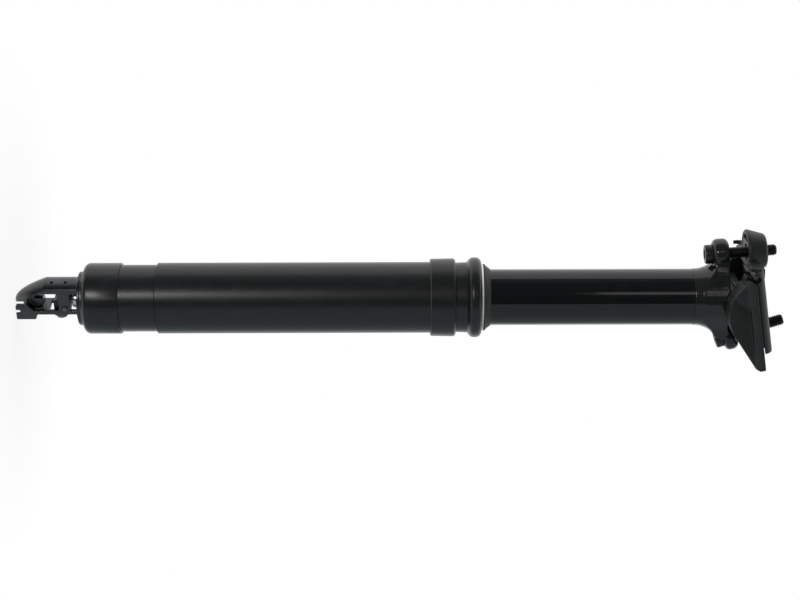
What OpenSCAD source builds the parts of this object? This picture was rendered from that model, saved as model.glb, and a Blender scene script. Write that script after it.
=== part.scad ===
// Dropper seatpost with a two-bolt saddle clamp and a cable actuator at its foot.
// +Z runs up the post, +X points to the front of the bicycle.
// The origin is on the post axis, at the shoulder that stops the post in the seat tube.

/* [Outer tube] */
// Outside diameter that fits the frame's seat tube
tube_d = 31.6; // [30.4:0.1:34]
// Wall of the outer tube
tube_wall = 2.2; // [2:0.1:2.6]
// Length of the outer tube below the stop shoulder
tube_length = 137.6; // [136:0.1:180]
// Length of the relieved band at the foot of the tube
band_length = 16; // [10:0.5:22]
// Depth of the relieved band
band_depth = 0.9; // [0.3:0.1:1]
// Diameter of the stop ring at the top of the tube
stop_d = 34.9; // [34.4:0.1:39]
// Height of the stop ring
stop_h = 11.2; // [10:0.1:16]

/* [Base cap] */
// Visible height of the end cap
base_h = 16.2; // [12:0.1:24]
// Thickness of the end cap's floor
base_floor = 4; // [3:0.1:6]
// Length of the end cap's spigot inside the tube
base_spigot = 8; // [5:0.1:8.4]
// Radius of the end cap's lower edge
base_round = 2.6; // [1:0.1:3]

/* [Collar] */
// Height of the plain neck between the stop ring and the bulge
neck_h = 5.2; // [4:0.1:9]
// Diameter of the bulge
bulge_d = 35.7; // [34.6:0.1:40]
// Height of the bulge
bulge_h = 6.4; // [5.8:0.1:9]
// Depth of the collar's threaded spigot in the tube
collar_spigot = 8; // [6:0.1:9]
// Height of the bright ring above the bulge
wiper_ring_h = 0.7; // [0.5:0.1:1.5]
// Height of the wiper's lip above the bright ring
wiper_h = 3.2; // [2.6:0.1:5]

/* [Stanchion] */
// Outside diameter of the sliding tube
stanchion_d = 25; // [24:0.1:25.4]
// Wall of the sliding tube
stanchion_wall = 1.75; // [1.4:0.05:1.9]
// Bright length between the wiper and the head
stanchion_shown = 90; // [84:0.5:130]
// Length of the sliding tube below the stop shoulder
stanchion_below = 47.5; // [44:0.5:48]
// How far the saddle drops
travel = 80; // [40:1:80]
// Height of the lower guide bush
lower_bush_h = 12; // [8:0.5:14]
// Width of a guide key
key_w = 3; // [2:0.1:4]
// Height of a guide key
key_h = 12; // [8:0.5:14]
// Number of guide keys
key_count = 3; // [2:1:4]

/* [Cartridge] */
// Outside diameter of the gas cartridge
cartridge_d = 19; // [17:0.1:20]
// Wall of the gas cartridge
cartridge_wall = 1.2; // [1:0.1:1.5]
// Diameter of the cartridge rod
rod_d = 9; // [8:0.1:10]
// Diameter of the rod's threaded foot
rod_foot_d = 6; // [5:0.1:7]
// Diameter of the valve pin
valve_pin_d = 2.4; // [2:0.1:3]
// Height of the cartridge's lower gland
gland_h = 10; // [8:0.5:12]
// Height of the main piston
piston_h = 8; // [6:0.5:10]
// Height of the floating piston
float_h = 8; // [6:0.5:10]
// Diameter of the screw that holds the cartridge to the head
cartridge_bolt_d = 6; // [5:0.1:7]

/* [Head] */
// Depth of the head's spigot in the sliding tube
head_spigot = 18; // [12:0.5:22]
// Height of the head from its neck to its flat top
head_h = 15.6; // [15:0.1:19]
// Width of the head across the bicycle
head_w = 26.6; // [24:0.1:27]
// Radius of an ear round its bolt
ear_r = 6.7; // [6:0.1:7]
// Thickness of an ear
ear_t = 7.2; // [6.6:0.1:8]
// Depth of the recess that takes a bolt's head in its ear
ear_recess = 1.6; // [0.8:0.1:2]
// Radius of an ear's round edges
ear_round = 2.4; // [1:0.1:2.8]

/* [Saddle clamp] */
// Diameter of a saddle rail
rail_d = 7; // [6.8:0.1:7.4]
// Distance between the two rails
rail_spacing = 44; // [42:0.5:48]
// Tilt of the rails against the square of the post, front down
rail_tilt = 9; // [7:0.5:10.5]
// Height of the parting plane above the head's flat top
parting_h = 10.6; // [10.2:0.1:12]
// Reach of the cradle behind the post axis
cradle_back = 26.4; // [25.6:0.1:30]
// Reach of the upper clamp behind the post axis
upper_back = 18.4; // [17:0.1:24]
// Reach of both rail channels before the post axis
channel_front = 14; // [13:0.1:14.6]
// Wall of the cradle's rail channels
cradle_wall = 1.2; // [1:0.1:1.8]
// Wall of the upper clamp's rail channels
upper_wall = 0.9; // [0.8:0.1:1.4]
// Radius of the rocking face under the cradle
rocker_r = 15.8; // [15.4:0.1:16.2]
// Radius of the round foot of the cradle's side webs
web_r = 17.4; // [16.8:0.1:18]
// Diameter of the clamp bolts
bolt_d = 5; // [4.6:0.1:5.4]
// Diameter of a bolt's head
bolt_head_d = 8.5; // [8:0.1:9]
// Height of a bolt's head
bolt_head_h = 5; // [4:0.1:5.4]
// Diameter of a barrel nut
nut_d = 7; // [6.8:0.1:7.4]
// Length of a barrel nut
nut_w = 9; // [8:0.5:9.5]
// Outside radius of the hoop below the front nut
hoop_r = 10.4; // [10:0.1:11]
// Outside radius of the hoop's top
hoop_top_r = 7.3; // [7.1:0.1:8.4]

/* [Actuator] */
// Diameter of the bracket's flange
flange_d = 24; // [22:0.1:26]
// Thickness of the bracket's flange
flange_t = 1.5; // [1.2:0.1:2]
// Thickness of the steel washer above the flange
washer_t = 0.9; // [0.8:0.1:1.5]
// Outside radius of the bracket's arch
arch_r = 9.7; // [9.4:0.1:10.6]
// Wall of the bracket's arch at its crown
arch_wall = 4.2; // [3.4:0.1:4.6]
// Length of the bracket below its flange
bracket_length = 29; // [28:0.1:32]
// Diameter of the housing socket in the bracket's nose
housing_d = 4.1; // [3.8:0.1:4.4]
// Depth of the housing socket
housing_depth = 4.2; // [3.6:0.1:4.6]
// Distance of the cable's line behind the post axis
cable_back = 5.6; // [5.3:0.1:5.8]
// Distance of the lever's pivot behind the post axis
pivot_back = 2.2; // [2:0.1:2.6]
// Distance of the lever's pivot below the flange
pivot_drop = 6.4; // [6.2:0.1:7]
// Diameter of the lever's pivot pin
lever_pin_d = 2.5; // [2:0.1:2.8]
// Width of the lever
lever_w = 7; // [6:0.1:7.6]
// Diameter of the cable screw's head
cable_screw_d = 4.9; // [4.4:0.1:5.4]
// Turn of the bracket about the post axis, from the front
actuator_turn = -14; // [-30:1:30]
// Turn of the slits in the bracket's nose from its flat sides
slit_turn = 32; // [0:1:35]

/* [Hidden] */
$fn = 64;
// Radial play of a piece that slides or turns in another
run = 0.05;
// Room between pieces that move past each other
room = 0.35;
// Overlap that lets a cut break through a face
cut = 1;

// Outer tube and base cap
tube_r = tube_d / 2;
bore_r = tube_r - tube_wall;
base_top = -tube_length;
base_bottom = base_top - base_h;
key_slot_depth = 0.8;
key_slot_end = -(stanchion_below - lower_bush_h - 2) - travel - 2;

// Collar and wiper
neck_top = stop_h + neck_h;
collar_top = neck_top + bulge_h;
wiper_r = tube_r - 0.95;
wiper_skirt = 4;
collar_spigot_r = tube_r - 0.6;
lip_thickness = 0.15;

// Stanchion and head
stanchion_r = stanchion_d / 2;
stanchion_bore_r = stanchion_r - stanchion_wall;
wiper_tip = collar_top + wiper_ring_h + wiper_h;
stanchion_top = wiper_tip + stanchion_shown;
head_top = stanchion_top + head_h;
key_seat_r = stanchion_r - 0.8;
arm_half_w = ear_r - 0.9;
arm_step = 0.9;
plan_steps = 10;
key_top = -stanchion_below + lower_bush_h + 2 + key_h;

// Cartridge
valve_pin_length = 55;
cartridge_r = cartridge_d / 2;
cartridge_bore_r = cartridge_r - cartridge_wall;
cartridge_foot = -stanchion_below + 3.5;
cartridge_top = stanchion_top - head_spigot;
cartridge_plug = 12;
rod_r = rod_d / 2;
rod_foot_r = rod_foot_d / 2;
piston_foot = cartridge_foot + gland_h + 2;
float_foot = piston_foot + piston_h + travel * (1 - pow(rod_r / cartridge_bore_r, 2)) + 6;
cartridge_bolt_r = cartridge_bolt_d / 2;
cartridge_bolt_head_r = cartridge_bolt_d * 0.8;
cartridge_bolt_seat = stanchion_top + 7;

// Saddle clamp, in a frame that lies in the parting plane
parting_z = head_top + parting_h;
rail_r = rail_d / 2;
rail_y = rail_spacing / 2;
rail_drop = 0.6;
parting_gap = 0.15;
cradle_r = rail_r + cradle_wall;
upper_r = rail_r + upper_wall;
upper_top = upper_r - rail_drop;
plate_step = 0.4;
lip_front = channel_front + 4.9;
lip_w = -0.9;
rocker_u = -1.8;
rocker_w = 3.9;
rocker_x = rocker_u * cos(rail_tilt) + rocker_w * sin(rail_tilt);
rocker_z = parting_z - rocker_u * sin(rail_tilt) + rocker_w * cos(rail_tilt);
web_inner = head_w / 2 + 0.7;
web_outer = rail_y + 2.8;
deck_u = [-9, 7];
deck_w = [-6.6, -3.4];
rear_bar_u = [0.8 - cradle_back, 5 - cradle_back];
rear_bar_w = [-4.4, -2.4];
pocket_corner = [2.3, -4.1];
pocket_depth = 1.9;
pocket_rise = 4.7;
pocket_slope = 6;

// Clamp bolts and nuts
bolt_r = bolt_d / 2;
nut_r = nut_d / 2;
nut_room = 0.5;
front_seat_x = 19.9;
front_lean = 4;
rear_sink = 0.6;
rear_seat_x = -18.6;
rear_lean = 17.5;
front_seat_z = head_top - ear_t + ear_recess;
rear_seat_z = head_top + rear_sink;
front_nut_w = 5.2;
rear_nut_w = 3;
front_tail = 5;
rear_tail = 7.1;
hex_key = 4;

// Actuator
washer_top = base_bottom;
flange_top = washer_top - washer_t;
flange_bottom = flange_top - flange_t;
bracket_bottom = flange_bottom - bracket_length;
pivot_z = flange_bottom - pivot_drop;
lever_pin_r = lever_pin_d / 2;
cheek_t = 1.8;
cheek_y = lever_w / 2 + room;
strap_y = cheek_y + cheek_t + 0.1;
arch_edge = arch_r - arch_wall;
lip_r = arch_r - 0.4;
nose_length = 14;
nose_steps = 14;
nose_face = -1;
nose_end = bracket_bottom + 0.7;
nose_back = bracket_bottom + 8.8;
flat_start = bracket_bottom + 6;
barrel_x = 1.1;
barrel_z = bracket_bottom + 9.8;
barrel_r = 3.6;
arm_top = -3;
arm_bottom = -5.1;
arm_end = bracket_bottom + 15.4;
slit = 0.9;
boss_x = -2.4;
boss_r = 4.2;
boss_length = 12.6;
cable_hole_r = 0.9;
cable_screw_r = cable_screw_d / 2;
cable_screw_drop = 2.6;
nut_plate = 3;
rod_nut_r = 4.2;
rod_end = flange_bottom - nut_plate - 0.4;
toe_r = 1.5;
lever_boss_r = lever_pin_r + 0.6;
valve_end = pivot_z + max(toe_r, lever_boss_r) + room;
lever_back = cable_back + 1.4;
lever_low = pivot_z - 5.2;
screw_shank_r = 2;
screw_head_t = 1.8;
screw_key = 2.5;
long_slit = 4.7;
short_slit = 2.7;
slit_x = -1.8;

// Points of an arc round a centre, from one angle to another
function arc(centre, r, from, to, steps = 8) =
    [for (i = [0 : steps]) centre + r * [cos(from + (to - from) * i / steps), sin(from + (to - from) * i / steps)]];

// Where a leaning bolt's axis meets a height above its seat
function on_bolt(seat_x, seat_z, lean, along) = [seat_x + along * sin(lean), seat_z + along * cos(lean)];

// Length along a leaning bolt up to a height in the clamp's frame
function reach(seat_x, seat_z, lean, w) =
    (w - seat_x * sin(rail_tilt) - (seat_z - parting_z) * cos(rail_tilt)) / cos(lean - rail_tilt);

front_reach = reach(front_seat_x, front_seat_z, front_lean, front_nut_w);
rear_reach = reach(rear_seat_x, rear_seat_z, rear_lean, rear_nut_w);
front_point = on_bolt(front_seat_x, front_seat_z, front_lean, front_reach);
rear_point = on_bolt(rear_seat_x, rear_seat_z, rear_lean, rear_reach);
front_u = front_point[0] * cos(rail_tilt) - (front_point[1] - parting_z) * sin(rail_tilt);
rear_u = rear_point[0] * cos(rail_tilt) - (rear_point[1] - parting_z) * sin(rail_tilt);

// Hollow cylinder between two heights
module tube(outer, inner, low, high) {
    translate([0, 0, low])
        difference() {
            cylinder(r = outer, h = high - low);
            translate([0, 0, -cut])
                cylinder(r = inner, h = high - low + 2 * cut);
        }
}

// Solid of a side outline in X and Z, with the given width across Y
module side_plate(points, width) {
    rotate([90, 0, 0])
        linear_extrude(width, center = true)
            polygon(points);
}

// Cylinder that lies across the bicycle
module cross_cylinder(r, width) {
    rotate([90, 0, 0])
        cylinder(r = r, h = width, center = true);
}

// Frame that lies in the parting plane of the saddle clamp
module clamp_frame() {
    translate([0, 0, parting_z])
        rotate([0, rail_tilt, 0])
            children();
}

// Frame of the actuator, whose cable lies on the turned rear side of the post
module actuator_frame() {
    rotate([0, 0, -actuator_turn])
        children();
}

// Frame on the seat of a clamp bolt, with Z along the bolt
module bolt_frame(seat_x, seat_z, lean) {
    translate([seat_x, 0, seat_z])
        rotate([0, lean, 0])
            children();
}

module outer_tube() {
    color("#1b1c1e")
    difference() {
        rotate_extrude()
            polygon([
                [bore_r, base_top],
                [tube_r - band_depth, base_top],
                [tube_r - band_depth, base_top + band_length],
                [tube_r, base_top + band_length + band_depth / 2],
                [tube_r, 0],
                [stop_d / 2 - 0.6, 0],
                [stop_d / 2 - 0.2, 0.5],
                [stop_d / 2, stop_h - 0.8],
                [stop_d / 2 - 0.8, stop_h],
                [collar_spigot_r + run, stop_h],
                [collar_spigot_r + run, stop_h - collar_spigot],
                [bore_r, stop_h - collar_spigot]
            ]);
        for (i = [0 : key_count - 1])
            rotate([0, 0, i * 360 / key_count])
                translate([0, -key_w / 2 - room, key_slot_end])
                    cube([bore_r + key_slot_depth, key_w + 2 * room, stop_h + cut - key_slot_end]);
    }
}

module base_cap() {
    color("#1d1e20")
    rotate_extrude()
        polygon(concat(
            [[rod_foot_r + run, base_bottom]],
            arc([tube_r - base_round, base_bottom + base_round], base_round, -90, 0),
            [
                [tube_r, base_top],
                [bore_r - run, base_top],
                [bore_r - run, base_top + base_spigot],
                [bore_r - 2, base_top + base_spigot],
                [bore_r - 2, base_bottom + base_floor],
                [rod_foot_r + run, base_bottom + base_floor]
            ]
        ));
}

module collar_nut() {
    bulge_r = bulge_d / 2;
    neck_r = tube_r - 0.1;
    round_r = bulge_h * 0.4;
    color("#202124")
    rotate_extrude()
        polygon(concat(
            [
                [bore_r, stop_h - collar_spigot],
                [collar_spigot_r, stop_h - collar_spigot],
                [collar_spigot_r, stop_h],
                [neck_r - 0.2, stop_h],
                [neck_r, neck_top]
            ],
            arc([bulge_r - round_r, neck_top + round_r + 0.4], round_r, -60, 0),
            arc([bulge_r - round_r, collar_top - round_r], round_r, 0, 84),
            [
                [wiper_r, collar_top],
                [bore_r, collar_top]
            ]
        ));
}

module upper_bushing() {
    color("#3a3f3a")
    tube(bore_r - run, stanchion_r + run, stop_h - collar_spigot, collar_top - wiper_skirt - 0.5);
}

module wiper_ring() {
    color("#c8cacc")
    tube(wiper_r, bore_r, collar_top, collar_top + wiper_ring_h);
}

module wiper_seal() {
    foot = collar_top + wiper_ring_h;
    color("#18191a")
    rotate_extrude()
        polygon([
            [stanchion_r + run, collar_top - wiper_skirt],
            [bore_r - run, collar_top - wiper_skirt],
            [bore_r - run, foot],
            [wiper_r, foot],
            [wiper_r, foot + wiper_h * 0.25],
            [wiper_r - 0.75, foot + wiper_h * 0.42],
            [stanchion_r + 1.1, foot + wiper_h * 0.62],
            [stanchion_r + lip_thickness + run, foot + wiper_h],
            [stanchion_r + run, foot + wiper_h]
        ]);
}

module base_washer() {
    color("#b9bbbd")
    tube(flange_d / 2 + 0.4, rod_foot_r + run, flange_top, washer_top);
}

// Half section of the bracket's turned body, with a pointed nose
function nose_profile() = concat(
    [for (i = [0 : nose_steps]) [arch_r * i / nose_steps, bracket_bottom + nose_length * pow(i / nose_steps, 2)]],
    [[arch_r, flange_top - flange_t / 2], [0, flange_top - flange_t / 2]]
);

// Side outline of the bracket's arch, above the flat of the nose
function arch_outline() = [
    [2 * arch_r, flange_top],
    [2 * arch_r, bracket_bottom - cut],
    [nose_face, bracket_bottom - cut],
    [nose_face, nose_back],
    [nose_face + 4, nose_back],
    [arch_edge, nose_back + 2],
    [arch_edge, flange_top]
];

// Side outline of the nose's lip and of the lower arm behind it
function lip_outline() = [
    [nose_face + 0.4, nose_end],
    [1.4 - lip_r, nose_end],
    [-lip_r - cut, nose_end + 1.4],
    [-lip_r - cut, nose_back - 0.4],
    [arm_bottom, nose_back + 1.2],
    [arm_bottom, flange_top],
    [arm_top, flange_top],
    [arm_top, nose_back - 0.3],
    [nose_face + 0.4, nose_back - 0.3]
];

// Side outline of a cheek, which carries the lever's pin
function cheek_outline() = concat(
    [
        [arch_edge, pivot_z + lever_pin_r + 1.4],
        [arch_edge + 1.4, pivot_z + lever_pin_r + 1.4],
        [arch_edge + 1.4, pivot_z - 3],
        [arch_edge, pivot_z - 3]
    ],
    arc([-pivot_back, pivot_z], lever_pin_r + 1.5, 290, 80, 8)
);

module actuator_bracket() {
    hole_turn = 12;
    hole_r = 0.65;
    hole_pitch = 6.1;
    hole_z = pivot_z + 0.8;
    color("#2a2b2d")
    actuator_frame()
    difference() {
        union() {
            tube(flange_d / 2, rod_foot_r + run, flange_bottom, flange_top);
            difference() {
                intersection() {
                    rotate_extrude()
                        polygon(nose_profile());
                    side_plate(arch_outline(), 4 * arch_r);
                }
                for (side = [-1, 1])
                    translate([-arch_r, side * (strap_y + arch_r) - arch_r, flat_start])
                        cube([3 * arch_r, 2 * arch_r, bracket_length]);
            }
            difference() {
                intersection() {
                    translate([0, 0, bracket_bottom])
                        cylinder(r = lip_r, h = bracket_length + flange_t / 2);
                    side_plate(lip_outline(), 2 * strap_y);
                }
                translate([-lip_r, -cheek_y - 0.15, arm_end])
                    cube([lip_r, 2 * cheek_y + 0.3, bracket_length]);
            }
            translate([boss_x, 0, bracket_bottom + 4])
                cylinder(r = boss_r, h = boss_length - 4);
            for (side = [-1, 1])
                translate([0, side * (cheek_y + cheek_t / 2), 0])
                    side_plate(cheek_outline(), cheek_t);
        }
        translate([barrel_x, boss_r * 0.5, barrel_z])
            rotate([-90, 0, 0])
                cylinder(r = barrel_r, h = 2 * arch_r);
        translate([-pivot_back, 0, pivot_z])
            cross_cylinder(lever_pin_r + run, 4 * arch_r);
        for (step = [0, 1])
            rotate([0, 0, hole_turn])
                translate([0, 0, hole_z - step * hole_pitch])
                    rotate([0, 90, 0])
                        cylinder(r = hole_r, h = 2 * arch_r);
        translate([-cable_back, 0, nose_end - cut])
            cylinder(r = housing_d / 2, h = housing_depth + cut);
        translate([-cable_back, 0, nose_end - cut])
            cylinder(r = cable_hole_r, h = boss_length + 2 * cut);
        rotate([0, 0, -slit_turn]) {
            translate([slit_x - slit / 2, -2 * arch_r, bracket_bottom - cut])
                cube([slit, 4 * arch_r, long_slit + cut]);
            translate([-cable_back - slit / 2, -2 * arch_r, bracket_bottom - cut])
                cube([slit, 4 * arch_r, short_slit + cut]);
        }
    }
}

module rod_nut() {
    color("#c4c6c8")
    tube(rod_nut_r, rod_foot_r + run, flange_bottom - nut_plate, flange_bottom);
}

module lever_pin() {
    color("#8f9194")
    actuator_frame()
    translate([-pivot_back, 0, pivot_z])
        cross_cylinder(lever_pin_r, 2 * (cheek_y + cheek_t) + 0.6);
}

module cartridge_rod() {
    color("#d0d2d4")
    difference() {
        union() {
            translate([0, 0, base_bottom + base_floor])
                cylinder(r = rod_r, h = piston_foot - base_bottom - base_floor);
            translate([0, 0, rod_end])
                cylinder(r = rod_foot_r, h = piston_foot + piston_h - rod_end);
        }
        translate([0, 0, rod_end - cut])
            cylinder(r = valve_pin_d / 2 + run, h = valve_end + valve_pin_length + 2 - rod_end + cut);
    }
}

module main_piston() {
    color("#b4902f")
    translate([0, 0, piston_foot])
        difference() {
            cylinder(r = cartridge_bore_r - run, h = piston_h);
            translate([0, 0, -cut])
                cylinder(r = rod_foot_r + run, h = piston_h + 2 * cut);
        }
}

module valve_pin() {
    color("#d6d8da")
    translate([0, 0, valve_end])
        cylinder(r = valve_pin_d / 2, h = valve_pin_length);
}

module stanchion() {
    color("#0b0c0d")
    difference() {
        tube(stanchion_r, stanchion_bore_r, -stanchion_below, stanchion_top);
        guide_key_solids(room / 10);
    }
}

module lower_bushing() {
    color("#3a3f3a")
    tube(bore_r - run, stanchion_r, -stanchion_below, -stanchion_below + lower_bush_h);
}

// The row of guide keys, grown on each side by the given play
module guide_key_solids(play) {
    for (i = [0 : key_count - 1])
        rotate([0, 0, i * 360 / key_count])
            translate([key_seat_r - play, -key_w / 2 - play, key_top - key_h - play])
                cube([
                    bore_r + key_slot_depth - room - key_seat_r + play,
                    key_w + 2 * play,
                    key_h + 2 * play
                ]);
}

module guide_keys() {
    color("#b08d3c")
    guide_key_solids(0);
}

// Half width of the head in plan, from the neck out to an ear
function head_half_width(share) = arm_half_w + (head_w / 2 - arm_half_w) * (1 + cos(180 * share)) / 2;

// Plan of the head: a smooth outline that narrows to the two ears
module head_plan() {
    side = concat(
        [for (i = [0 : plan_steps]) [rear_seat_x * (1 - i / plan_steps), head_half_width(1 - i / plan_steps)]],
        [for (i = [1 : plan_steps]) [front_seat_x * i / plan_steps, head_half_width(i / plan_steps)]]
    );
    far_side = [for (i = [len(side) - 1 : -1 : 0]) [side[i][0], -side[i][1]]];
    polygon(concat(side, far_side));
}

// Side outline of the head above its neck
function head_outline() = [
    [stanchion_r + 2, stanchion_top - cut],
    [stanchion_r + 2, stanchion_top + 6],
    [front_seat_x - 2, head_top - ear_t + arm_step],
    [front_seat_x, head_top - ear_t + arm_step],
    [front_seat_x, head_top],
    [rear_seat_x + ear_r, head_top],
    [rear_seat_x, head_top + 2],
    [rear_seat_x - 1, head_top - 1],
    [-stanchion_r - 3.1, stanchion_top + 8.6],
    [-stanchion_r - 2, stanchion_top + 6],
    [-stanchion_r - 2, stanchion_top - cut]
];

// Ear round a bolt, with round edges
module ear_disc(thickness) {
    rotate_extrude()
        polygon(concat(
            [[0, 0]],
            arc([ear_r - ear_round, ear_round], ear_round, -90, 0, 6),
            arc([ear_r - ear_round, thickness - ear_round], ear_round, 0, 90, 6),
            [[0, thickness]]
        ));
}

// Round flare that the head grows from
module head_flare() {
    rotate_extrude()
        polygon([
            [0, stanchion_top],
            [stanchion_r + 0.1, stanchion_top],
            [stanchion_r + 0.3, stanchion_top + 3.2],
            [stanchion_r + 1.2, stanchion_top + 6],
            [stanchion_r + 2.6, stanchion_top + 8.4],
            [stanchion_r + 4.2, stanchion_top + 9.6],
            [3 * stanchion_r, stanchion_top + 10.4],
            [3 * stanchion_r, head_top + head_h],
            [0, head_top + head_h]
        ]);
}

module head() {
    color("#141516")
    difference() {
        union() {
            translate([0, 0, stanchion_top - head_spigot])
                cylinder(r = stanchion_bore_r - run, h = head_spigot + cut);
            intersection() {
                side_plate(head_outline(), 2 * head_w);
                translate([0, 0, stanchion_top - cut])
                    linear_extrude(2 * head_h)
                        head_plan();
                head_flare();
            }
            bolt_frame(front_seat_x, front_seat_z, front_lean)
                translate([0, 0, -ear_recess])
                    ear_disc(ear_t);
            bolt_frame(rear_seat_x, rear_seat_z, rear_lean)
                translate([0, 0, -ear_recess - rear_sink + 0.6])
                    ear_disc(ear_t - 1);
        }
        translate([rocker_x, 0, rocker_z])
            cross_cylinder(rocker_r + room, 4 * head_w);
        translate([0, 0, stanchion_top - head_spigot - cut])
            cylinder(r = cartridge_bolt_r + run, h = 2 * head_h);
        translate([0, 0, cartridge_bolt_seat])
            cylinder(r = cartridge_bolt_head_r + room, h = head_h);
        for (ear = [[front_seat_x, front_seat_z, front_lean], [rear_seat_x, rear_seat_z, rear_lean]])
            bolt_frame(ear[0], ear[1], ear[2]) {
                translate([0, 0, -cut])
                    cylinder(r = bolt_r + room, h = 2 * head_h);
                translate([0, 0, -3 * bolt_head_h])
                    cylinder(r = bolt_head_d / 2 + room, h = 3 * bolt_head_h);
            }
    }
}

module cartridge_body() {
    color("#8d9093")
    difference() {
        translate([0, 0, cartridge_foot])
            cylinder(r = cartridge_r, h = cartridge_top - cartridge_foot);
        translate([0, 0, cartridge_foot - cut])
            cylinder(r = cartridge_bore_r, h = cartridge_top - cartridge_plug - cartridge_foot + cut);
        translate([0, 0, cartridge_top - cartridge_plug - cut])
            cylinder(r = cartridge_bolt_r + run, h = cartridge_plug + 2 * cut);
    }
}

module cartridge_gland() {
    color("#6f7275")
    tube(cartridge_bore_r - run, rod_r + run, cartridge_foot, cartridge_foot + gland_h);
}

module floating_piston() {
    color("#b4902f")
    translate([0, 0, float_foot])
        cylinder(r = cartridge_bore_r - run, h = float_h);
}

module cartridge_bolt() {
    color("#77797c")
    difference() {
        union() {
            translate([0, 0, cartridge_top - cartridge_plug + 1])
                cylinder(r = cartridge_bolt_r, h = cartridge_bolt_seat - cartridge_top + cartridge_plug - 1);
            translate([0, 0, cartridge_bolt_seat])
                cylinder(r = cartridge_bolt_head_r, h = cartridge_bolt_r);
        }
        translate([0, 0, cartridge_bolt_seat + 1])
            cylinder(r = hex_key / 2 / cos(30), h = cartridge_bolt_d, $fn = 6);
    }
}

// Socket-head clamp bolt whose head lies below its seat
module clamp_bolt(length) {
    difference() {
        union() {
            translate([0, 0, -bolt_head_h])
                cylinder(r = bolt_head_d / 2, h = bolt_head_h);
            cylinder(r = bolt_r, h = length);
        }
        translate([0, 0, -bolt_head_h - cut])
            cylinder(r = hex_key / 2 / cos(30), h = bolt_head_h / 2 + cut, $fn = 6);
    }
}

module front_bolt() {
    color("#17181a")
    bolt_frame(front_seat_x, front_seat_z, front_lean)
        clamp_bolt(front_reach + nut_r + front_tail);
}

module rear_bolt() {
    color("#17181a")
    bolt_frame(rear_seat_x, rear_seat_z, rear_lean)
        clamp_bolt(rear_reach + nut_r + rear_tail);
}

// Side outline of the cradle's webs in the clamp's frame
function web_outline() = concat(
    [[channel_front, -parting_gap], [channel_front + 1.9, -rail_r]],
    arc([rocker_u, rocker_w], web_r, -31, -111, 14),
    [
        [1 - cradle_back, -cradle_r + 0.4],
        [-cradle_back, -rail_r + 0.9],
        [0.4 - cradle_back, -parting_gap]
    ]
);

// Pocket in a web's face that leaves the rail channel as a raised strip
module web_pocket() {
    translate([pocket_corner[0], web_outer - pocket_depth, pocket_corner[1]])
        rotate([pocket_slope, 0, -pocket_rise])
            translate([0, web_outer / 2, 0])
                side_plate([
                    [0, 0],
                    [web_r, -web_r],
                    [-3 * cradle_back, -3 * web_r],
                    [-3 * cradle_back, 0]
                ], web_outer);
}

module lower_cradle() {
    color("#242527")
    clamp_frame()
        difference() {
            union() {
                for (side = [-1, 1]) {
                    translate([0, side * (web_inner + web_outer) / 2, 0])
                        side_plate(web_outline(), web_outer - web_inner);
                    intersection() {
                        translate([-2 * cradle_back, side * rail_y, -rail_drop])
                            rotate([0, 90, 0])
                                cylinder(r = cradle_r, h = 4 * cradle_back);
                        side_plate(web_outline(), 4 * rail_y);
                    }
                }
                translate([deck_u[0], -web_inner - cut, deck_w[0]])
                    cube([deck_u[1] - deck_u[0], 2 * (web_inner + cut), deck_w[1] - deck_w[0]]);
                translate([rear_bar_u[0], -web_inner - cut, rear_bar_w[0]])
                    cube([rear_bar_u[1] - rear_bar_u[0], 2 * (web_inner + cut), rear_bar_w[1] - rear_bar_w[0]]);
                intersection() {
                    translate([rocker_u, 0, rocker_w])
                        cross_cylinder(rocker_r, 2 * (web_inner + cut));
                    translate([deck_u[0], -web_inner - 2 * cut, -2 * rocker_r])
                        cube([deck_u[1] - deck_u[0] - 1, 2 * web_inner + 4 * cut, 2 * rocker_r + deck_w[1] - 0.2]);
                }
            }
            for (side = [-1, 1]) {
                translate([-2 * cradle_back, side * rail_y, -rail_drop])
                    rotate([0, 90, 0])
                        cylinder(r = rail_r, h = 4 * cradle_back);
                mirror([0, 1 - side, 0])
                    web_pocket();
            }
        }
}

// Radius of the hoop's cone at a height
function hoop_side(z, down, up) = hoop_r - (hoop_r - hoop_top_r) * (z + down) / (down + up);

// Half section of the hoop, with a rounded rim and a rounded crown
function hoop_section(down, up, rim, crown) =
    let (slope = atan((hoop_r - hoop_top_r) / (down + up)))
    concat(
        [[0, -down]],
        arc([hoop_side(rim - down, down, up) - rim / cos(slope), rim - down], rim, -90, slope, 5),
        arc([hoop_side(up - crown, down, up) - crown / cos(slope), up - crown], crown, slope, 90, 5),
        [[0, up]]
    );

// Plan of the upper clamp's neck, from the rail channels to the front hoop
module neck_plan() {
    polygon([
        [0, -rail_y],
        [lip_front, -rail_y],
        [front_u - 2, 1 - hoop_r],
        [front_u - 2, hoop_r - 1],
        [lip_front, rail_y],
        [0, rail_y]
    ]);
}

// Side outline of the rail channels above the parting plane, with a lip before the cradle
function upper_outline() = [
    [-upper_back, parting_gap],
    [channel_front + 0.4, parting_gap],
    [channel_front + 0.8, lip_w],
    [lip_front, lip_w],
    [lip_front, upper_top + cut],
    [-upper_back, upper_top + cut]
];

// Frame on the front nut, with Z along the front bolt
module hoop_frame() {
    translate([front_u, 0, front_nut_w])
        rotate([0, front_lean - rail_tilt, 0])
            children();
}

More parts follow.
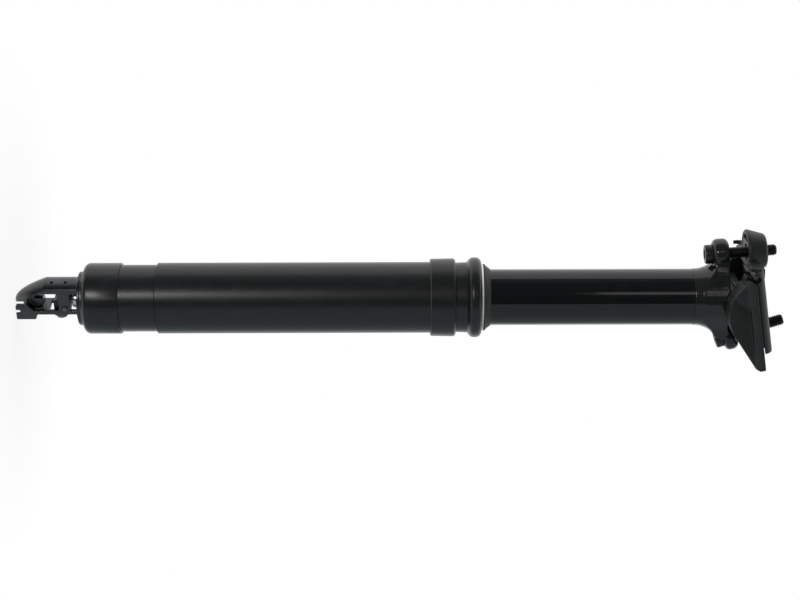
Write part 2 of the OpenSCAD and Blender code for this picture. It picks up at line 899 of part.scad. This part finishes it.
module upper_clamp() {
    notch_u = channel_front + 1.4;
    notch_w = 0;
    notch_r = 1.8;
    hoop_wall = 2;
    hoop_up = nut_r + 0.4;
    hoop_down = 5.1;
    hoop_floor = nut_r + nut_room + 0.7;
    hoop_pocket = nut_r + nut_room + 1.1;
    pocket_top = -0.5;
    neck_top = 4.2;
    plate_top = upper_top - plate_step;
    block_bottom = deck_w[1] + 0.8;
    block_wall = 2;
    color("#2b2c2e")
    clamp_frame()
        difference() {
            union() {
                for (side = [-1, 1])
                    intersection() {
                        translate([-2 * upper_back, side * rail_y, -rail_drop])
                            rotate([0, 90, 0])
                                cylinder(r = upper_r, h = 4 * upper_back);
                        side_plate(upper_outline(), 4 * rail_y);
                    }
                translate([-upper_back, -rail_y, parting_gap])
                    cube([upper_back + channel_front, rail_spacing, plate_top - parting_gap]);
                intersection() {
                    translate([0, 0, -hoop_r])
                        linear_extrude(2 * hoop_r)
                            neck_plan();
                    side_plate([
                        [0.5, parting_gap + 0.1],
                        [channel_front + 0.5, parting_gap + 0.1],
                        [channel_front + 0.9, lip_w + 0.1],
                        [front_u, lip_w + 0.1],
                        [front_u, neck_top + 0.6],
                        [front_u - hoop_r / 2, neck_top],
                        [channel_front - 2, plate_top - 0.2],
                        [0.5, plate_top - 0.2]
                    ], 4 * rail_y);
                }
                translate([rear_u - nut_r - nut_room - block_wall, -nut_w / 2 - block_wall, block_bottom])
                    cube([nut_d + 2 * nut_room + 2 * block_wall, nut_w + 2 * block_wall, rear_nut_w - block_bottom]);
                hoop_frame()
                    rotate_extrude()
                        polygon(hoop_section(hoop_down, hoop_up, 1.1, 1.8));
            }
            for (side = [-1, 1])
                translate([-2 * upper_back, side * rail_y, -rail_drop])
                    rotate([0, 90, 0])
                        cylinder(r = rail_r, h = 4 * upper_back);
            translate([notch_u, 0, notch_w])
                cross_cylinder(notch_r, 4 * rail_y);
            hoop_frame() {
                translate([0, 0, -hoop_down - cut])
                    cylinder(r = hoop_r - hoop_wall, h = hoop_down - hoop_floor + cut);
                intersection() {
                    translate([hoop_pocket, -hoop_r, -hoop_down - cut])
                        cube([hoop_r, 2 * hoop_r, hoop_down + cut + pocket_top]);
                    translate([0, 0, -hoop_down - cut])
                        cylinder(r1 = hoop_r - hoop_wall, r2 = hoop_top_r - 0.6, h = hoop_down + cut + pocket_top);
                }
                translate([0, 0, -hoop_down])
                    cylinder(r = bolt_r + 1.2, h = hoop_down + nut_d);
                nut_seat();
            }
            translate([rear_u, 0, rear_nut_w])
                nut_seat();
            translate([rear_u - bolt_d, -bolt_r - 1, -2 * rocker_r])
                cube([bolt_d + bolt_r + 0.7, bolt_d + 2, 2 * rocker_r + rear_nut_w]);
        }
}

// Half-round seat of a barrel nut, open above
module nut_seat() {
    cross_cylinder(nut_r + nut_room, nut_w + 2 * nut_room);
    translate([-nut_r - nut_room, -nut_w / 2 - nut_room, 0])
        cube([nut_d + 2 * nut_room, nut_w + 2 * nut_room, 2 * nut_d]);
}

// Barrel nut on a leaning bolt
module barrel_nut(seat_x, seat_z, lean, along) {
    bolt_frame(seat_x, seat_z, lean)
        translate([0, 0, along])
            difference() {
                cross_cylinder(nut_r, nut_w);
                translate([0, 0, -nut_d])
                    cylinder(r = bolt_r + 2 * run, h = 2 * nut_d);
            }
}

module front_nut() {
    color("#1a1b1c")
    barrel_nut(front_seat_x, front_seat_z, front_lean, front_reach);
}

module rear_nut() {
    color("#1a1b1c")
    barrel_nut(rear_seat_x, rear_seat_z, rear_lean, rear_reach);
}

// Side outline of the lever: a round toe under the valve pin and an arm to the cable
function lever_outline() = concat(
    arc([0, pivot_z], toe_r, 120, 0, 6),
    [
        [toe_r, lever_low + 1.8],
        [toe_r - 1, lever_low],
        [-lever_back + 0.4, lever_low],
        [-lever_back, lever_low + 0.4],
        [-lever_back, pivot_z],
        [-lever_back + 1.2, pivot_z + 1.8]
    ],
    arc([-pivot_back, pivot_z], lever_boss_r, 125, 75, 4)
);

module actuator_lever() {
    color("#1f2023")
    actuator_frame()
    difference() {
        side_plate(lever_outline(), lever_w);
        translate([-pivot_back, 0, pivot_z])
            cross_cylinder(lever_pin_r + run, 2 * lever_w);
        translate([-cable_back, 0, lever_low - cut])
            cylinder(r = cable_hole_r, h = pivot_z + 2 * lever_pin_r + 2 * cut - lever_low);
        translate([-lever_back - cut, 0, pivot_z - cable_screw_drop])
            rotate([0, 90, 0])
                cylinder(r = screw_shank_r + run, h = lever_back + cut - cable_back);
    }
}

module cable_screw() {
    shank = lever_back - cable_back;
    color("#70726a")
    actuator_frame()
    translate([-cable_back, 0, pivot_z - cable_screw_drop])
        rotate([0, -90, 0])
            difference() {
                union() {
                    translate([0, 0, 0.2])
                        cylinder(r = screw_shank_r, h = shank);
                    translate([0, 0, shank])
                        cylinder(r = cable_screw_r, h = screw_head_t);
                }
                translate([0, 0, shank + 0.6])
                    cylinder(r = screw_key / 2 / cos(30), h = screw_head_t, $fn = 6);
            }
}

outer_tube();
base_cap();
collar_nut();
upper_bushing();
wiper_ring();
wiper_seal();
base_washer();
actuator_bracket();
rod_nut();
lever_pin();
cartridge_rod();
main_piston();
valve_pin();
stanchion();
lower_bushing();
guide_keys();
head();
cartridge_body();
cartridge_gland();
floating_piston();
cartridge_bolt();
front_bolt();
rear_bolt();
lower_cradle();
upper_clamp();
front_nut();
rear_nut();
actuator_lever();
cable_screw();
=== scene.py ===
"""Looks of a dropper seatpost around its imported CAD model.

Materials, rounded edges and threaded bolts, then the floor, the light and the camera of the photograph.
"""

import math

import bpy
from mathutils import Matrix, Vector


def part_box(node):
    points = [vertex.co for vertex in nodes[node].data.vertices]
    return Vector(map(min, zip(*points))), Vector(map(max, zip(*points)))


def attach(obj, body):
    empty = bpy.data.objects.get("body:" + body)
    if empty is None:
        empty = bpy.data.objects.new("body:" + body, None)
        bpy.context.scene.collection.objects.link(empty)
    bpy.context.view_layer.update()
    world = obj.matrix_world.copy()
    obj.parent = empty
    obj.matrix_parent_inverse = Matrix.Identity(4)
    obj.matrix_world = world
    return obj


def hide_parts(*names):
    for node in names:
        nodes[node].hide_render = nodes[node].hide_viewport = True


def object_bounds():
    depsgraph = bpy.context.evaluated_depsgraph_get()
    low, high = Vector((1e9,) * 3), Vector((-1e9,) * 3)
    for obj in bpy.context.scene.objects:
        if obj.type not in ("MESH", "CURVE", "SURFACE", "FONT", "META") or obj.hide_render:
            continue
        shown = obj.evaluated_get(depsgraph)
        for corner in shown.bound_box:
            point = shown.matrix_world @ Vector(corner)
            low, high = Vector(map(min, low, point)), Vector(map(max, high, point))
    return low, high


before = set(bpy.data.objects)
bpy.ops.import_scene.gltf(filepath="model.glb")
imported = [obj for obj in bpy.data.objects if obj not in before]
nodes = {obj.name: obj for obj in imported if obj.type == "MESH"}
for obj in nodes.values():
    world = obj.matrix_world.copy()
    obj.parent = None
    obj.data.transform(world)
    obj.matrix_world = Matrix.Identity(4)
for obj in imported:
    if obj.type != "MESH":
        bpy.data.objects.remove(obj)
cad_low, cad_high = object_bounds()
scene = bpy.context.scene
MM = 0.001

# The photograph, in pixels: the post's axis lies along the image with its top to the right
IMAGE_WIDTH = 800
IMAGE_HEIGHT = 600
ORIGIN_COLUMN = 430
AXIS_ROW = 297.35
MM_PER_PIXEL = 0.447
# The camera looks at the image's centre, which lies off the part's origin
CAMERA_DISTANCE = 0.8
CENTRE_Z = (IMAGE_WIDTH / 2 - ORIGIN_COLUMN) * MM_PER_PIXEL * MM
CENTRE_X = (AXIS_ROW - IMAGE_HEIGHT / 2) * MM_PER_PIXEL * MM
ROLL = math.radians(-0.166)
SENSOR = 36.0
CLIP_NEAR = 0.01
CLIP_FAR = 50
# The post lies turned about its own axis, so the camera and the lights stand round from +Y towards +X
POST_TURN = math.radians(18)
ROUND = Matrix.Rotation(-POST_TURN, 4, "Z")


class ShaderTree:
    """Short way to add shader nodes to an emptied tree and to link them."""

    def __init__(self, tree):
        self.tree = tree
        tree.nodes.clear()

    def add(self, kind, **settings):
        node = self.tree.nodes.new(kind)
        for key, value in settings.items():
            setattr(node, key, value)
        return node

    def link(self, source, target):
        self.tree.links.new(source, target)


# Part of a noise's range that is spread over a finish, and the pointiness over which an edge gets worn
NOISE_SPAN = (0.3, 0.7)
WORN_SPAN = (0.515, 0.6)
BLOTCH_SCALE = 120.0
BLOTCH_DETAIL = 4.0
GRAIN_DETAIL = 3.0


def noise(tree, coordinates, scale, detail, stretch=None):
    """A noise texture over the object's own metres, stretched along an axis if asked."""
    vector = coordinates
    if stretch is not None:
        mapping = tree.add("ShaderNodeMapping")
        mapping.inputs["Scale"].default_value = stretch
        tree.link(vector, mapping.inputs["Vector"])
        vector = mapping.outputs["Vector"]
    texture = tree.add("ShaderNodeTexNoise")
    texture.inputs["Scale"].default_value = scale
    texture.inputs["Detail"].default_value = detail
    tree.link(vector, texture.inputs["Vector"])
    return texture.outputs["Fac"]


def between(tree, value, low, high, span=NOISE_SPAN):
    """Spreads a value that runs over span to low and high, and holds it there outside the span."""
    ranged = tree.add("ShaderNodeMapRange")
    ranged.inputs["From Min"].default_value = span[0]
    ranged.inputs["From Max"].default_value = span[1]
    ranged.inputs["To Min"].default_value = low
    ranged.inputs["To Max"].default_value = high
    tree.link(value, ranged.inputs["Value"])
    return ranged.outputs["Result"]


def surface(name, dark, light, rough, metallic=0.0, grain=2600.0, bump=0.08, bump_depth=0.00004,
            stretch=None, wear=0.0, wear_colour=None):
    """A finish with blotches of two tones, a grain in its gloss and relief, and worn edges."""
    made = bpy.data.materials.new(name)
    made.use_nodes = True
    tree = ShaderTree(made.node_tree)
    out = tree.add("ShaderNodeOutputMaterial")
    shader = tree.add("ShaderNodeBsdfPrincipled")
    shader.inputs["Metallic"].default_value = metallic
    where = tree.add("ShaderNodeTexCoord").outputs["Object"]
    tone = tree.add("ShaderNodeMix", data_type="RGBA")
    tone.inputs["A"].default_value = (*dark, 1)
    tone.inputs["B"].default_value = (*light, 1)
    tree.link(between(tree, noise(tree, where, BLOTCH_SCALE, BLOTCH_DETAIL), 0, 1), tone.inputs["Factor"])
    colour = tone.outputs["Result"]
    if wear > 0:
        edges = tree.add("ShaderNodeNewGeometry").outputs["Pointiness"]
        worn = tree.add("ShaderNodeMix", data_type="RGBA")
        worn.inputs["B"].default_value = (*wear_colour, 1)
        tree.link(colour, worn.inputs["A"])
        tree.link(between(tree, edges, 0, wear, WORN_SPAN), worn.inputs["Factor"])
        colour = worn.outputs["Result"]
    tree.link(colour, shader.inputs["Base Color"])
    fine = noise(tree, where, grain, GRAIN_DETAIL, stretch)
    tree.link(between(tree, fine, rough[0], rough[1]), shader.inputs["Roughness"])
    relief = tree.add("ShaderNodeBump")
    relief.inputs["Strength"].default_value = bump
    relief.inputs["Distance"].default_value = bump_depth
    tree.link(fine, relief.inputs["Height"])
    tree.link(relief.outputs["Normal"], shader.inputs["Normal"])
    tree.link(shader.outputs["BSDF"], out.inputs["Surface"])
    return made


SATIN_BLACK = surface("satin_black", (0.0045, 0.0048, 0.0052), (0.0072, 0.0076, 0.0082), (0.27, 0.36),
                      bump=0.14)
CAP_BLACK = surface("cap_black", (0.0048, 0.0051, 0.0055), (0.0076, 0.008, 0.0086), (0.26, 0.34),
                    bump=0.12, stretch=(1, 1, 6))
GLOSS_BLACK = surface("gloss_black", (0.0028, 0.003, 0.0033), (0.0042, 0.0044, 0.0047), (0.06, 0.10),
                      grain=900.0, bump=0.02, stretch=(1, 1, 0.2))
HEAD_BLACK = surface("head_black", (0.006, 0.0063, 0.0066), (0.010, 0.0104, 0.0108), (0.10, 0.17),
                     grain=240.0, bump=0.3, bump_depth=0.0003, wear=0.1, wear_colour=(0.04, 0.042, 0.044))
CLAMP_GREY = surface("clamp_grey", (0.0066, 0.0076, 0.0078), (0.009, 0.0102, 0.0105), (0.38, 0.5),
                     grain=3200.0, bump=0.2, wear=0.1, wear_colour=(0.05, 0.052, 0.054))
BRACKET_GREY = surface("bracket_grey", (0.075, 0.0765, 0.079), (0.095, 0.097, 0.1), (0.26, 0.36),
                       metallic=1.0, grain=2800.0, bump=0.12, wear=0.15, wear_colour=(0.3, 0.3, 0.3))
LEVER_DARK = surface("lever_dark", (0.005, 0.0052, 0.0055), (0.009, 0.0093, 0.0098), (0.35, 0.5),
                     bump=0.2, wear=0.2, wear_colour=(0.1, 0.1, 0.1))
BOLT_BLACK = surface("bolt_black", (0.02, 0.0197, 0.021), (0.032, 0.0315, 0.0335), (0.26, 0.38),
                     metallic=0.85, grain=1800.0, bump=0.1, wear=0.3, wear_colour=(0.2, 0.2, 0.205))
STEEL = surface("bright_steel", (0.56, 0.57, 0.59), (0.68, 0.69, 0.71), (0.18, 0.32),
                metallic=1.0, grain=1500.0, bump=0.06, stretch=(1, 1, 8))
RING_STEEL = surface("ring_steel", (0.6, 0.605, 0.61), (0.72, 0.725, 0.73), (0.3, 0.42),
                     metallic=0.4, grain=1500.0, bump=0.06, stretch=(1, 1, 8))
DARK_STEEL = surface("dark_steel", (0.10, 0.102, 0.106), (0.16, 0.163, 0.168), (0.24, 0.4),
                     metallic=1.0, grain=1500.0, stretch=(1, 1, 8))
OLIVE_STEEL = surface("olive_steel", (0.16, 0.158, 0.135), (0.24, 0.236, 0.205), (0.34, 0.5),
                      metallic=0.85, grain=1700.0, bump=0.12, wear=0.4, wear_colour=(0.45, 0.45, 0.4))
RUBBER = surface("wiper_rubber", (0.014, 0.0143, 0.0146), (0.021, 0.0214, 0.0218), (0.5, 0.66),
                 grain=2200.0, bump=0.22)
POLYMER = surface("bush_polymer", (0.07, 0.08, 0.07), (0.11, 0.12, 0.11), (0.45, 0.6), bump=0.15)
BRASS = surface("key_brass", (0.46, 0.33, 0.11), (0.56, 0.41, 0.15), (0.25, 0.4), metallic=1.0)
CARTRIDGE = surface("cartridge_metal", (0.42, 0.43, 0.45), (0.5, 0.51, 0.53), (0.28, 0.4),
                    metallic=1.0, stretch=(1, 1, 7))

FINISH = {
    "outer_tube": SATIN_BLACK, "base_cap": CAP_BLACK, "collar_nut": SATIN_BLACK, "upper_bushing": POLYMER,
    "wiper_ring": RING_STEEL, "wiper_seal": RUBBER, "base_washer": DARK_STEEL,
    "actuator_bracket": BRACKET_GREY, "rod_nut": STEEL, "lever_pin": DARK_STEEL, "cartridge_rod": STEEL,
    "main_piston": CARTRIDGE, "valve_pin": STEEL, "stanchion": GLOSS_BLACK, "lower_bushing": POLYMER,
    "guide_keys": BRASS, "head": HEAD_BLACK, "cartridge_body": CARTRIDGE, "cartridge_gland": CARTRIDGE,
    "floating_piston": CARTRIDGE, "cartridge_bolt": STEEL, "front_bolt": BOLT_BLACK,
    "rear_bolt": BOLT_BLACK, "lower_cradle": CLAMP_GREY, "upper_clamp": CLAMP_GREY,
    "front_nut": BOLT_BLACK, "rear_nut": BOLT_BLACK, "actuator_lever": LEVER_DARK,
    "cable_screw": OLIVE_STEEL,
}
for name, finish in FINISH.items():
    nodes[name].data.materials.clear()
    nodes[name].data.materials.append(finish)

# Pieces with soft, melted edges: cell size in metres and passes of smoothing
FORGED = {
    "head": (0.00028, 14),
    "upper_clamp": (0.00025, 4),
    "lower_cradle": (0.0003, 8),
    "actuator_bracket": (0.00022, 9),
    "actuator_lever": (0.00018, 4),
}
# Pieces with small rounded edges: the edge's width in metres
ROUNDED = {
    "base_cap": 0.0002,
    "front_nut": 0.0004,
    "rear_nut": 0.0004,
    "rod_nut": 0.0003,
    "base_washer": 0.00015,
    "cable_screw": 0.0003,
    "lever_pin": 0.0002,
}
WELD_GAP = 2e-6
MELT_STRENGTH = 0.5
BEVEL_SEGMENTS = 3
BEVEL_ANGLE = math.radians(38)


def welded(name):
    """Joins a CAD node's doubled points, for the modifiers that follow; its own mesh stays as packed."""
    weld = nodes[name].modifiers.new("weld", "WELD")
    weld.merge_threshold = WELD_GAP


def forged(name, voxel, passes):
    """Melts a CAD node's edges as a forging's are, with modifiers."""
    welded(name)
    cells = nodes[name].modifiers.new("cells", "REMESH")
    cells.mode = "VOXEL"
    cells.voxel_size = voxel
    cells.use_smooth_shade = True
    melt = nodes[name].modifiers.new("melt", "SMOOTH")
    melt.factor = MELT_STRENGTH
    melt.iterations = passes


def rounded(name, width):
    """Rounds a CAD node's sharp edges with modifiers."""
    welded(name)
    bevel = nodes[name].modifiers.new("edge", "BEVEL")
    bevel.width = width
    bevel.segments = BEVEL_SEGMENTS
    bevel.limit_method = "ANGLE"
    bevel.angle_limit = BEVEL_ANGLE
    bevel.harden_normals = True
    bevel.use_clamp_overlap = True


for name, (voxel, passes) in FORGED.items():
    forged(name, voxel, passes)
for name, width in ROUNDED.items():
    rounded(name, width)

# Clamp bolts, in millimetres: a bolt's z runs from under its head, its seat, to its threaded end
BOLT_R = 2.5
ROOT_R = 2.05
HEAD_R = 4.25
HEAD_H = 5.0
PLAIN_LENGTH = 5.6
SIDES = 48
SPLIT_ANGLE = math.radians(40)
# Hexagon socket, with a drilled tip and a chamfer; HALF_SIDE is the angle from a side's middle to its corner
HALF_SIDE = math.radians(30)
KEY_FLAT = 2.0
KEY_R = KEY_FLAT / math.cos(HALF_SIDE)
KEY_DEPTH = 2.5
KEY_TIP_R = 0.3
KEY_TIP_DEPTH = 0.5
KEY_CHAMFER = 0.3
KEY_CHAMFER_DEPTH = 0.35
# Rounded edge of the head: inset from its radius and depth below its top
HEAD_EDGE = ((0.75, 0), (0.3, 0.12), (0.08, 0.35), (0, 0.7))
FOOT_CHAMFER = 0.15
FOOT_CHAMFER_H = 0.2
NECK_FILLET = 0.2
NECK_FILLET_H = 0.25
# Thread: a flank climbs from root to crest over 1 / FLANK_SLOPE of the pitch, and the end tapers by two cuts
PITCH = 0.8
TURN_STEPS = 8
FLANK_SLOPE = 3.2
THREAD_START = 0.2
END_CUT = 0.15
TIP_CUT = 0.3

ANGLES = [2 * math.pi * j / SIDES for j in range(SIDES)]


def closed_mesh(name, rows):
    """A smooth mesh from rings of equal point counts, closed at both ends."""
    count = len(rows[0])
    points = [tuple(point) for row in rows for point in row]
    faces = []
    for i in range(len(rows) - 1):
        for j in range(count):
            k = (j + 1) % count
            faces.append((i * count + j, i * count + k, (i + 1) * count + k, (i + 1) * count + j))
    faces.append(tuple(reversed(range(count))))
    faces.append(tuple(range(len(points) - count, len(points))))
    mesh = bpy.data.meshes.new(name)
    mesh.from_pydata(points, [], faces)
    mesh.validate()
    mesh.update()
    for polygon in mesh.polygons:
        polygon.use_smooth = True
    return mesh


def polar(radius, angle, z):
    return Vector((radius * math.cos(angle), radius * math.sin(angle), z))


def ring(radius, z):
    return [polar(radius, angle, z) for angle in ANGLES]


def hex_ring(radius, z):
    """A hexagon with the ring's point count, so that the two can be joined."""
    points = []
    for angle in ANGLES:
        from_flat = (angle + HALF_SIDE) % (2 * HALF_SIDE) - HALF_SIDE
        points.append(polar(radius * math.cos(HALF_SIDE) / math.cos(from_flat), angle, z))
    return points


def share_of(value):
    """A value held between 0 and 1."""
    return max(0.0, min(1.0, value))


def thread_ring(z, end):
    """One ring of a right-hand thread, with its crests cut down over the last turn."""
    fade = share_of((end - z) / PITCH)
    points = []
    for angle in ANGLES:
        turn = (z / PITCH - angle / (2 * math.pi)) % 1.0
        height = share_of(FLANK_SLOPE / 2 - FLANK_SLOPE * abs(turn - 0.5))
        radius = ROOT_R - END_CUT * (1 - fade) + (BOLT_R - ROOT_R) * height * fade
        points.append(polar(radius, angle, z))
    return points


def bolt_length(node, seat, lean):
    """Length of a CAD bolt from its seat to its end, worked out from the top of its box."""
    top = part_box(node)[1].z / MM
    return (top - seat[2] - BOLT_R * math.sin(lean)) / math.cos(lean)


def bolt_rows(length):
    """A bolt's rings from its socket's tip, over the head and along the thread to its end."""
    rows = [hex_ring(KEY_TIP_R, KEY_DEPTH - HEAD_H + KEY_TIP_DEPTH), hex_ring(KEY_R, KEY_DEPTH - HEAD_H)]
    rows += [hex_ring(KEY_R, KEY_CHAMFER_DEPTH - HEAD_H), hex_ring(KEY_R + KEY_CHAMFER, -HEAD_H)]
    rows += [ring(HEAD_R - inset, depth - HEAD_H) for inset, depth in HEAD_EDGE]
    rows += [ring(HEAD_R, -FOOT_CHAMFER_H), ring(HEAD_R - FOOT_CHAMFER, 0)]
    rows += [ring(BOLT_R + NECK_FILLET, 0), ring(BOLT_R, NECK_FILLET_H), ring(BOLT_R, PLAIN_LENGTH)]
    steps = int((length - PLAIN_LENGTH - THREAD_START) / (PITCH / TURN_STEPS))
    for i in range(steps + 1):
        rows.append(thread_ring(PLAIN_LENGTH + THREAD_START + i * PITCH / TURN_STEPS, length))
    rows.append(ring(ROOT_R - TIP_CUT, length))
    return rows


def threaded_bolt(name, node, seat, lean):
    """A socket-head bolt with a cut thread in place of the CAD node's plain one."""
    rows = bolt_rows(bolt_length(node, seat, lean))
    place = Matrix.Translation(Vector(seat) * MM) @ Matrix.Rotation(lean, 4, "Y")
    mesh = closed_mesh(name, [[place @ (point * MM) for point in row] for row in rows])
    piece = bpy.data.objects.new(name, mesh)
    scene.collection.objects.link(piece)
    mesh.materials.append(BOLT_BLACK)
    sharp = piece.modifiers.new("edges", "EDGE_SPLIT")
    sharp.split_angle = SPLIT_ANGLE
    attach(piece, "inner")
    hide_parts(node)


# Each bolt's seat in millimetres and its lean from upright towards +X
FRONT_SEAT = (19.9, 0, 126.7)
FRONT_LEAN = math.radians(4.0)
REAR_SEAT = (-18.6, 0, 132.9)
REAR_LEAN = math.radians(17.5)
threaded_bolt("front_clamp_bolt", "front_bolt", FRONT_SEAT, FRONT_LEAN)
threaded_bolt("rear_clamp_bolt", "rear_bolt", REAR_SEAT, REAR_LEAN)

# Floor: pale, catches the object's shadow near its foot and runs out into the white
FLOOR_R = 0.13
FLOOR_SIDES = 64
FLOOR_DROP = 0.0004
FLOOR_COLOUR = (0.86, 0.86, 0.86, 1)
WHITE = (1, 1, 1, 1)
# Distance from the axis over which the shadow runs out, and the share of white at its two ends
SHADOW_SPAN = (0.03, 0.11)
WHITE_NEAR = 0.88
WHITE_FAR = 1.0


def pale_floor():
    """The floor's paint: mostly plain white to the camera, and a plain matt surface to the light."""
    made = bpy.data.materials.new("pale_floor")
    made.use_nodes = True
    tree = ShaderTree(made.node_tree)
    out = tree.add("ShaderNodeOutputMaterial")
    diffuse = tree.add("ShaderNodeBsdfDiffuse")
    diffuse.inputs["Color"].default_value = FLOOR_COLOUR
    white = tree.add("ShaderNodeEmission")
    white.inputs["Color"].default_value = WHITE
    path = tree.add("ShaderNodeLightPath")
    where = tree.add("ShaderNodeTexCoord").outputs["Object"]
    distance = tree.add("ShaderNodeVectorMath", operation="LENGTH")
    tree.link(where, distance.inputs[0])
    share = tree.add("ShaderNodeMath", operation="MULTIPLY")
    tree.link(between(tree, distance.outputs["Value"], WHITE_NEAR, WHITE_FAR, SHADOW_SPAN), share.inputs[0])
    tree.link(path.outputs["Is Camera Ray"], share.inputs[1])
    mix = tree.add("ShaderNodeMixShader")
    tree.link(share.outputs[0], mix.inputs["Fac"])
    tree.link(diffuse.outputs["BSDF"], mix.inputs[1])
    tree.link(white.outputs["Emission"], mix.inputs[2])
    tree.link(mix.outputs["Shader"], out.inputs["Surface"])
    return made


floor_mesh = bpy.data.meshes.new("floor")
floor_angles = [2 * math.pi * i / FLOOR_SIDES for i in range(FLOOR_SIDES)]
floor_mesh.from_pydata([polar(FLOOR_R, angle, 0) for angle in floor_angles], [], [range(FLOOR_SIDES)])
floor_mesh.materials.append(pale_floor())
floor = bpy.data.objects.new("floor", floor_mesh)
scene.collection.objects.link(floor)
floor.location = (0, 0, cad_low.z - FLOOR_DROP)
floor.visible_glossy = False

# World: white to the camera, reflections and glass, and a softer light on matt surfaces
WORLD_LIGHT = 0.3
WORLD_WHITE = 1.0
world = bpy.data.worlds.new("studio")
scene.world = world
world.use_nodes = True
sky = ShaderTree(world.node_tree)
sky_out = sky.add("ShaderNodeOutputWorld")
background = sky.add("ShaderNodeBackground")
background.inputs["Color"].default_value = WHITE
sky_path = sky.add("ShaderNodeLightPath")
seen = sky_path.outputs["Is Camera Ray"]
for ray in ("Is Glossy Ray", "Is Transmission Ray"):
    either = sky.add("ShaderNodeMath", operation="MAXIMUM")
    sky.link(seen, either.inputs[0])
    sky.link(sky_path.outputs[ray], either.inputs[1])
    seen = either.outputs[0]
sky.link(between(sky, seen, WORLD_LIGHT, WORLD_WHITE, (0, 1)), background.inputs["Strength"])
sky.link(background.outputs["Background"], sky_out.inputs["Surface"])

# Studio cards round the post's axis, in metres and faintly blue
CARD_R = 2.0
CARD_HALF = 4.0
CARD_STEPS = 24
CARD_TINT = (0.89, 1.0, 1.03, 1)


def card_paint(name, level):
    """A plain glow."""
    made = bpy.data.materials.new(name)
    made.use_nodes = True
    tree = ShaderTree(made.node_tree)
    out = tree.add("ShaderNodeOutputMaterial")
    glow = tree.add("ShaderNodeEmission")
    glow.inputs["Color"].default_value = CARD_TINT
    glow.inputs["Strength"].default_value = level
    tree.link(glow.outputs["Emission"], out.inputs["Surface"])
    return made


def card(name, start, end, level):
    """A studio card that only reflections see; its angles in degrees run from +Y towards +X."""
    angles = [math.radians(start + (end - start) * i / CARD_STEPS) for i in range(CARD_STEPS + 1)]
    points = []
    for z in (-CARD_HALF, CARD_HALF):
        points += [(CARD_R * math.sin(angle), CARD_R * math.cos(angle), z) for angle in angles]
    count = len(angles)
    faces = [(i, i + 1, count + i + 1, count + i) for i in range(CARD_STEPS)]
    mesh = bpy.data.meshes.new(name)
    mesh.from_pydata(points, [], faces)
    mesh.materials.append(card_paint(name, level))
    made = bpy.data.objects.new(name, mesh)
    scene.collection.objects.link(made)
    made.visible_camera = False
    made.visible_diffuse = False
    made.visible_shadow = False
    made.visible_transmission = False
    made.matrix_world = ROUND


card("dark_card", start=-30, end=62, level=0.06)
card("half_dark_card", start=62, end=80, level=0.16)
card("low_card", start=-140, end=-30, level=0.48)


def softbox(name, place, target, size, power, mirrored):
    """A soft lamp; one that isn't mirrored lights the part without a glint of its own."""
    lamp = bpy.data.lights.new(name, "AREA")
    lamp.shape = "RECTANGLE"
    lamp.size, lamp.size_y = size
    lamp.energy = power
    made = bpy.data.objects.new(name, lamp)
    scene.collection.objects.link(made)
    aim = (Vector(target) - Vector(place)).to_track_quat("-Z", "Y").to_matrix().to_4x4()
    made.matrix_world = ROUND @ Matrix.Translation(place) @ aim
    made.visible_glossy = mirrored


softbox("front_left", place=(0.17, 0.85, -0.38), target=(0, 0, -0.1), size=(0.17, 0.5),
        power=0.3, mirrored=True)
softbox("left_end", place=(0.17, 0.85, -0.335), target=(0, 0, -0.15), size=(0.2, 0.1),
        power=1.3, mirrored=True)
softbox("right_end", place=(0.2, 0.85, 0.24), target=(0, 0, 0.12), size=(0.16, 0.14),
        power=0.07, mirrored=True)
softbox("overhead", place=(0.9, 0.35, 0.1), target=(0, 0, 0), size=(1.0, 0.5),
        power=12.0, mirrored=False)
softbox("below", place=(-0.8, 0.5, 0), target=(0, 0, 0), size=(1.0, 0.5),
        power=1.5, mirrored=False)

# Camera: the post's top lies to the right of the image and its front up
FACING = Matrix(((0, 1, 0), (0, 0, 1), (1, 0, 0))).to_4x4()
lens = bpy.data.cameras.new("camera")
lens.sensor_width = SENSOR
lens.lens = SENSOR * CAMERA_DISTANCE / (IMAGE_WIDTH * MM_PER_PIXEL * MM)
lens.clip_start = CLIP_NEAR
lens.clip_end = CLIP_FAR
camera = bpy.data.objects.new("camera", lens)
scene.collection.objects.link(camera)
camera_place = Matrix.Translation((CENTRE_X, CAMERA_DISTANCE, CENTRE_Z))
camera.matrix_world = ROUND @ camera_place @ FACING @ Matrix.Rotation(ROLL, 4, "Z")
scene.camera = camera
scene.view_settings.view_transform = "Standard"
